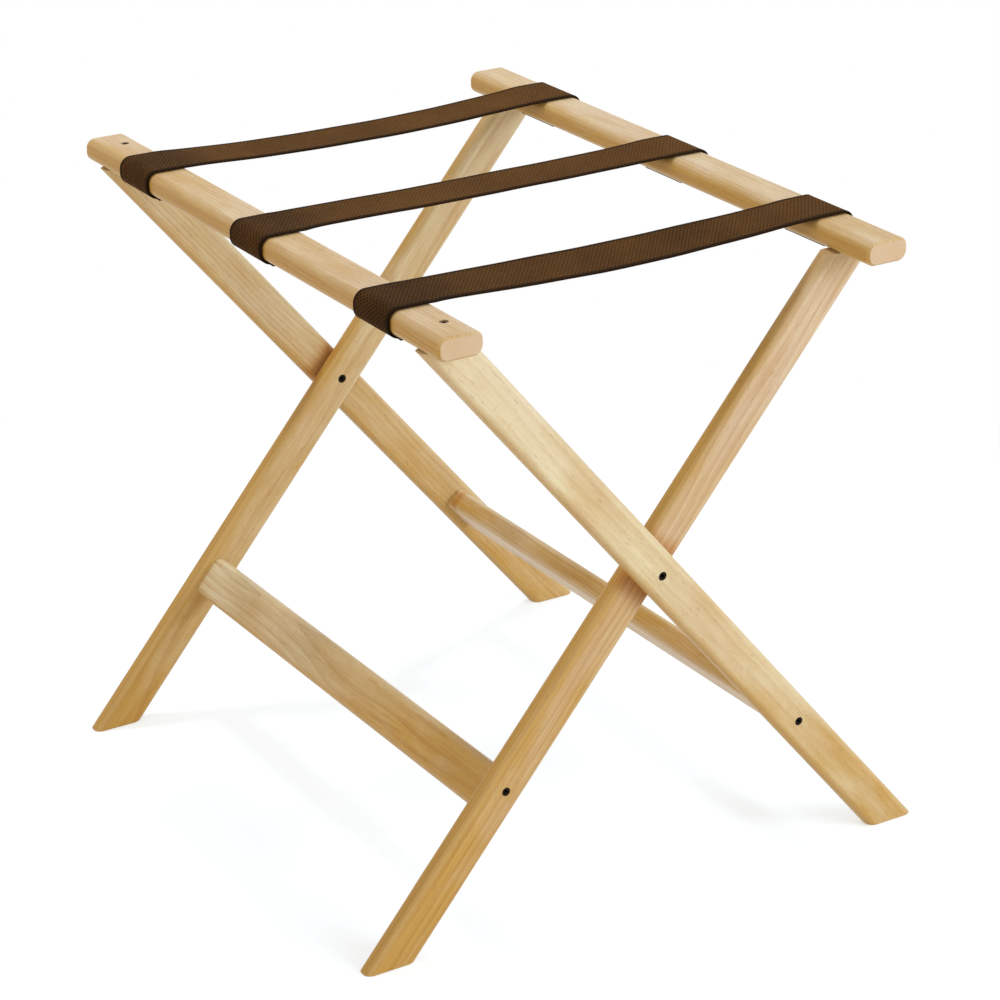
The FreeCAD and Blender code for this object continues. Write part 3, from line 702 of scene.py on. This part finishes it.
def strap_mesh(name, middle_y, phase, slack, droop, pull, settings):
    """A closed ribbon along the strap's line, with cupping between the rails and slightly wavy edges,
    and how long it is."""
    line = strap_line(settings)
    section = webbing_section(settings)
    inboard = RAIL_LOW.x
    made = bmesh.new()
    lay = made.loops.layers.uv.new("webbing_lay")
    run = 0.0
    rings = []
    runs = []
    for i, (x, z) in enumerate(line):
        before = line[max(i - 1, 0)]
        after = line[min(i + 1, len(line) - 1)]
        if i:
            run += math.dist(before, (x, z))
        way = Vector((after[0] - before[0], after[1] - before[1])).normalized()
        out = Vector((-way.y, way.x))
        free = max(0.0, 1 - (x / inboard) ** 2) if z > RAIL_LOW.z else 0.0
        pressed = min(1.0, abs(x) / inboard) ** SPREAD_POWER
        drift = 0.0002 * math.sin(run * 41 + phase) + 0.0001 * math.sin(run * 97 + 2 * phase)
        shift = drift * (1 + free) - (pull * pressed if x < 0 else 0.0)
        ring = []
        for y, side in section:
            share = y / settings.width
            cup = settings.cupping * (4 * share ** 2 - 0.35)
            lift = side * settings.thickness / 2 + free * (cup + droop * (share - 0.25) - slack)
            wide = y + 2 * share * settings.spread * pressed
            ring.append(made.verts.new((x + out.x * lift, middle_y + wide + shift,
                                        z + out.y * lift)))
        rings.append(ring)
        runs.append(run)
    for i in range(len(rings) - 1):
        for j in range(len(section)):
            k = (j + 1) % len(section)
            places = ((i, j), (i, k), (i + 1, k), (i + 1, j))
            face = made.faces.new([rings[at][part] for at, part in places])
            face.smooth = True
            for loop, (at, part) in zip(face.loops, places):
                loop[lay].uv = (section[part][0], runs[at])
    for end in (0, -1):
        face = made.faces.new(rings[end])
        for loop, (y, _) in zip(face.loops, section):
            loop[lay].uv = (y, runs[end])
    bmesh.ops.recalc_face_normals(made, faces=made.faces[:])
    mesh = bpy.data.meshes.new(name)
    made.to_mesh(mesh)
    made.free()
    return mesh, run


# ---- Fixings ----
def blackened_steel(settings):
    """Machined steel with a black oxide finish: near black, with a dull oily sheen; heads that face up
    get a painted reflection of brownish grey."""
    material = empty_material("Steel, black oxide")
    tree = material.node_tree
    place = add_node(tree, "ShaderNodeTexCoord")
    cloud = add_node(tree, "ShaderNodeTexNoise", {
        "Vector": place.outputs["Object"], "Scale": 900.0, "Detail": 3.0})
    colour = add_node(tree, "ShaderNodeMix", {
        "Factor": cloud.outputs["Fac"], "A": opaque(linear("171412")),
        "B": opaque(settings.oxide)}, data_type="RGBA")
    # Painted reflection: faces that point up are lightened to a brownish grey.
    upward = add_node(tree, "ShaderNodeSeparateXYZ", {"Vector": place.outputs["Normal"]})
    painted_reflection = add_node(tree, "ShaderNodeMapRange", {
        "Value": upward.outputs["Z"], "From Min": 0.75, "From Max": 0.95, "To Max": 0.8})
    colour = add_node(tree, "ShaderNodeMix", {
        "Factor": painted_reflection.outputs["Result"], "A": colour.outputs["Result"],
        "B": opaque(settings.painted_reflection)}, data_type="RGBA")
    dullness = add_node(tree, "ShaderNodeMapRange", {
        "Value": cloud.outputs["Fac"], "To Min": 0.34, "To Max": 0.52})
    relief = add_node(tree, "ShaderNodeBump", {
        "Height": cloud.outputs["Fac"], "Strength": 0.2, "Distance": 0.00005})
    surface = add_node(tree, "ShaderNodeBsdfPrincipled", {
        "Base Color": colour.outputs["Result"], "Metallic": 1.0,
        "Roughness": dullness.outputs["Result"], "Normal": relief.outputs["Normal"]})
    add_node(tree, "ShaderNodeOutputMaterial", {"Surface": surface.outputs["BSDF"]})
    return material


def galvanised_wire(settings):
    """Drawn wire with a bright zinc coat: pale grey with fine scratches along the wire."""
    material = empty_material("Steel wire, galvanised")
    tree = material.node_tree
    place = add_node(tree, "ShaderNodeTexCoord")
    drawn = add_node(tree, "ShaderNodeMapping", {
        "Vector": place.outputs["Object"], "Scale": (3000.0, 260.0, 3000.0)})
    scratches = add_node(tree, "ShaderNodeTexNoise", {
        "Vector": drawn.outputs["Vector"], "Scale": 1.0, "Detail": 3.0})
    colour = add_node(tree, "ShaderNodeMix", {
        "Factor": scratches.outputs["Fac"], "A": opaque(linear("8C8E8E")),
        "B": opaque(settings.zinc)}, data_type="RGBA")
    dullness = add_node(tree, "ShaderNodeMapRange", {
        "Value": scratches.outputs["Fac"], "To Min": 0.24, "To Max": 0.46})
    surface = add_node(tree, "ShaderNodeBsdfPrincipled", {
        "Base Color": colour.outputs["Result"], "Metallic": 1.0,
        "Roughness": dullness.outputs["Result"]})
    add_node(tree, "ShaderNodeOutputMaterial", {"Surface": surface.outputs["BSDF"]})
    return material


def moulded_nylon(settings):
    """Moulded nylon in its natural colour: off-white, slightly cloudy, with a waxy sheen."""
    material = empty_material("Nylon, moulded")
    tree = material.node_tree
    place = add_node(tree, "ShaderNodeTexCoord")
    cloud = add_node(tree, "ShaderNodeTexNoise", {
        "Vector": place.outputs["Object"], "Scale": 420.0, "Detail": 2.0})
    colour = add_node(tree, "ShaderNodeMix", {
        "Factor": cloud.outputs["Fac"], "A": opaque(linear("C8C0AC")),
        "B": opaque(settings.nylon)}, data_type="RGBA")
    relief = add_node(tree, "ShaderNodeBump", {
        "Height": cloud.outputs["Fac"], "Strength": 0.15, "Distance": 0.0001})
    surface = add_node(tree, "ShaderNodeBsdfPrincipled", {
        "Base Color": colour.outputs["Result"], "Roughness": 0.42, "IOR": 1.53,
        "Normal": relief.outputs["Normal"]})
    add_node(tree, "ShaderNodeOutputMaterial", {"Surface": surface.outputs["BSDF"]})
    return material


# ---- Stage ----
WHITE = (1.0, 1.0, 1.0, 1.0)
# Each softbox: its name, the setting with its power, its place, aim, side and colour.
SOFTBOXES = (
    ("Key", "key_power", (2.25, -3.5, 1.97), (0, 0, 0.3), 2.4, "FFFFFF"),
    ("Top", "top_power", (0, 0.76, 2.0), (0, 0, 0.25), 0.3, "FFFFFF"),
    ("Side", "side_power", (-3.2, -0.6, 1.3), (0, 0, 0.3), 2.0, "FFE6C0"),
)
# From here outwards the floor turns to plain white to the eye.
BACKDROP_START = 0.45
BACKDROP_FULL = 0.95
FLOOR_HALF_SIDE = 14


def seen_by_eye(tree):
    """1 for what the eye sees, straight on, in a reflection or through glass, and 0 for light."""
    path = add_node(tree, "ShaderNodeLightPath")
    seen = add_node(tree, "ShaderNodeMath", {
        0: path.outputs["Is Camera Ray"], 1: path.outputs["Is Glossy Ray"]},
        operation="MAXIMUM")
    seen = add_node(tree, "ShaderNodeMath", {
        0: seen.outputs["Value"], 1: path.outputs["Is Transmission Ray"]}, operation="MAXIMUM")
    return seen.outputs["Value"]


def studio_floor(settings):
    """Matt painted floor: it shows as a white backdrop to the eye, keeps a faint shadow near the bench
    and throws a softer, slightly warm light back."""
    material = empty_material("Paint, matt white")
    tree = material.node_tree
    seen = seen_by_eye(tree)
    place = add_node(tree, "ShaderNodeTexCoord")
    away = add_node(tree, "ShaderNodeVectorMath", {
        0: place.outputs["Object"]}, operation="LENGTH")
    share = add_node(tree, "ShaderNodeMapRange", {
        "Value": away.outputs["Value"], "From Min": BACKDROP_START, "From Max": BACKDROP_FULL},
        interpolation_type="SMOOTHSTEP")
    share = add_node(tree, "ShaderNodeMath", {
        0: seen, 1: share.outputs["Result"]}, operation="MULTIPLY")
    glow = add_node(tree, "ShaderNodeMath", {
        0: seen, 1: settings.glow}, operation="MULTIPLY")
    colour = add_node(tree, "ShaderNodeMix", {
        "Factor": seen, "A": opaque(settings.bounce),
        "B": opaque(settings.floor)}, data_type="RGBA")
    paint = add_node(tree, "ShaderNodeBsdfDiffuse", {"Color": colour.outputs["Result"]})
    glow = add_node(tree, "ShaderNodeEmission", {"Strength": glow.outputs["Value"]})
    paint = add_node(tree, "ShaderNodeAddShader", {
        0: paint.outputs["BSDF"], 1: glow.outputs["Emission"]})
    backdrop = add_node(tree, "ShaderNodeEmission", {"Color": WHITE, "Strength": 1.0})
    surface = add_node(tree, "ShaderNodeMixShader", {
        0: share.outputs["Value"], 1: paint.outputs["Shader"], 2: backdrop.outputs["Emission"]})
    add_node(tree, "ShaderNodeOutputMaterial", {"Surface": surface.outputs["Shader"]})
    return material


def studio_world(settings):
    """Soft, slightly warm light from all round; the eye and reflections see plain white."""
    world = bpy.data.worlds.new("Studio")
    world.use_nodes = True
    tree = world.node_tree
    tree.nodes.clear()
    seen = seen_by_eye(tree)
    fill = add_node(tree, "ShaderNodeBackground", {
        "Color": opaque(linear("FFEBD2")), "Strength": settings.fill})
    white = add_node(tree, "ShaderNodeBackground", {"Color": WHITE, "Strength": 1.0})
    both = add_node(tree, "ShaderNodeMixShader", {
        0: seen, 1: fill.outputs["Background"], 2: white.outputs["Background"]})
    add_node(tree, "ShaderNodeOutputWorld", {"Surface": both.outputs["Shader"]})
    return world


def softbox(name, place, aim, side, power, colour):
    """A square area light that faces its aim."""
    data = bpy.data.lights.new(name, "AREA")
    data.shape = "SQUARE"
    data.size = side
    data.energy = power
    data.color = colour
    lamp = bpy.data.objects.new(name, data)
    lamp.location = place
    lamp.rotation_euler = (Vector(aim) - Vector(place)).to_track_quat("-Z", "Y").to_euler()
    bpy.context.scene.collection.objects.link(lamp)


def studio_camera(settings):
    """The scene's camera, which looks at its aim."""
    a, e, r = settings.azimuth, settings.elevation, settings.roll
    back = Vector((math.sin(a) * math.cos(e), -math.cos(a) * math.cos(e), math.sin(e)))
    level = Vector((math.cos(a), math.sin(a), 0))
    upright = back.cross(level)
    right = level * math.cos(r) + upright * math.sin(r)
    up = upright * math.cos(r) - level * math.sin(r)
    data = bpy.data.cameras.new("Camera")
    data.sensor_width = 36
    data.lens = settings.lens
    data.clip_start = 0.05
    data.clip_end = 60
    camera = bpy.data.objects.new("Camera", data)
    turn = Matrix((right, up, back)).transposed().to_4x4()
    camera.matrix_world = Matrix.Translation(Vector(settings.aim) + back * settings.distance) @ turn
    bpy.context.scene.collection.objects.link(camera)
    bpy.context.scene.camera = camera


# ---- Operators ----
def finish_boards(kind, settings):
    """Lacquered beech for the boards of one kind, each from its own part of the tree."""
    for name in BOARDS:
        if name.startswith(kind):
            wear_material(lacquered_beech(name, settings), name)


class BENCH_OT_rails(bpy.types.Operator):
    """Lacquered beech for the two rails"""

    bl_idname = "bench.rails"
    bl_label = "Rails"

    def execute(self, context):
        finish_boards("rail", context.scene.bench_beech)
        return {"FINISHED"}


class BENCH_OT_legs(bpy.types.Operator):
    """Lacquered beech for the four legs"""

    bl_idname = "bench.legs"
    bl_label = "Legs"

    def execute(self, context):
        finish_boards("leg", context.scene.bench_beech)
        return {"FINISHED"}


class BENCH_OT_stretchers(bpy.types.Operator):
    """Lacquered beech for the two stretchers"""

    bl_idname = "bench.stretchers"
    bl_label = "Stretchers"

    def execute(self, context):
        finish_boards("stretcher", context.scene.bench_beech)
        return {"FINISHED"}


class BENCH_OT_screws(bpy.types.Operator):
    """Black oxide steel for the wood screws, pivot screws and sleeve nuts"""

    bl_idname = "bench.screws"
    bl_label = "Screws and sleeve nuts"

    def execute(self, context):
        dark = [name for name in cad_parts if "screw" in name or "sleeve" in name]
        wear_material(blackened_steel(context.scene.bench_fixings), *dark)
        return {"FINISHED"}


class BENCH_OT_staples(bpy.types.Operator):
    """Galvanised wire for the staples under the rails"""

    bl_idname = "bench.staples"
    bl_label = "Staples"

    def execute(self, context):
        wear_material(galvanised_wire(context.scene.bench_fixings),
                      "strap_staples_outer", "strap_staples_inner")
        return {"FINISHED"}


class BENCH_OT_washers(bpy.types.Operator):
    """Nylon for the washers between the crossing legs"""

    bl_idname = "bench.washers"
    bl_label = "Washers"

    def execute(self, context):
        wear_material(moulded_nylon(context.scene.bench_fixings),
                      "pivot_washer_front", "pivot_washer_back")
        return {"FINISHED"}


class BENCH_OT_straps(bpy.types.Operator):
    """The three woven straps over the rails"""

    bl_idname = "bench.straps"
    bl_label = "Straps"

    def execute(self, context):
        settings = context.scene.bench_webbing
        webbing = woven_webbing(settings)
        for i, (spot, hang) in enumerate(STRAPS.items()):
            node_name = "strap_" + spot
            low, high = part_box(node_name)
            mesh, length = strap_mesh("webbing_" + spot, (low.y + high.y) / 2, i * 2.1, *hang,
                                      settings)
            mesh.materials.append(webbing)
            strap = bpy.data.objects.new("webbing_" + spot, mesh)
            context.scene.collection.objects.link(strap)
            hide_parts(node_name)
            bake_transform(strap)
        return {"FINISHED"}


class BENCH_OT_stage(bpy.types.Operator):
    """Floor, soft light and camera"""

    bl_idname = "bench.stage"
    bl_label = "Stage"

    def execute(self, context):
        settings = context.scene.bench_stage
        made = bmesh.new()
        bmesh.ops.create_grid(made, x_segments=8, y_segments=8, size=FLOOR_HALF_SIDE)
        mesh = bpy.data.meshes.new("floor")
        made.to_mesh(mesh)
        made.free()
        mesh.materials.append(studio_floor(settings))
        floor = bpy.data.objects.new("floor", mesh)
        context.scene.collection.objects.link(floor)
        context.scene.world = studio_world(settings)
        for name, power, place, aim, side, colour in SOFTBOXES:
            softbox(name, place, aim, side, getattr(settings, power), linear(colour))
        studio_camera(settings)
        context.scene.view_settings.view_transform = "Standard"
        return {"FINISHED"}


class BENCH_PT_sidebar(bpy.types.Panel):
    """The bench's pieces and its stage"""

    bl_idname = "BENCH_PT_sidebar"
    bl_label = "Luggage bench"
    bl_space_type = "VIEW_3D"
    bl_region_type = "UI"
    bl_category = "Bench"

    def draw(self, context):
        for group, _, operators in GROUPS:
            box = self.layout.box()
            settings = getattr(context.scene, group)
            for name in settings.bl_rna.properties.keys():
                if name not in ("rna_type", "name"):
                    box.prop(settings, name)
            for operator in operators:
                box.operator(operator.bl_idname)


# For each property group: the scene's name for it, its class, and the operators that use it.
GROUPS = (
    ("bench_beech", BENCH_PG_beech, (BENCH_OT_rails, BENCH_OT_legs, BENCH_OT_stretchers)),
    ("bench_fixings", BENCH_PG_fixings, (BENCH_OT_screws, BENCH_OT_staples, BENCH_OT_washers)),
    ("bench_webbing", BENCH_PG_webbing, (BENCH_OT_straps,)),
    ("bench_stage", BENCH_PG_stage, (BENCH_OT_stage,)),
)
CLASSES = [BENCH_PT_sidebar]
for _, group_class, operator_classes in GROUPS:
    CLASSES += [group_class, *operator_classes]


def register():
    for made in CLASSES:
        bpy.utils.register_class(made)
    for name, group, _ in GROUPS:
        setattr(bpy.types.Scene, name, bpy.props.PointerProperty(type=group))


def unregister():
    for name, _, _ in GROUPS:
        delattr(bpy.types.Scene, name)
    for made in reversed(CLASSES):
        bpy.utils.unregister_class(made)


def main():
    register()
    bpy.ops.bench.stage()
    bpy.ops.bench.rails()
    bpy.ops.bench.legs()
    bpy.ops.bench.stretchers()
    bpy.ops.bench.screws()
    bpy.ops.bench.staples()
    bpy.ops.bench.washers()
    bpy.ops.bench.straps()


if __name__ == "__main__":
    main()
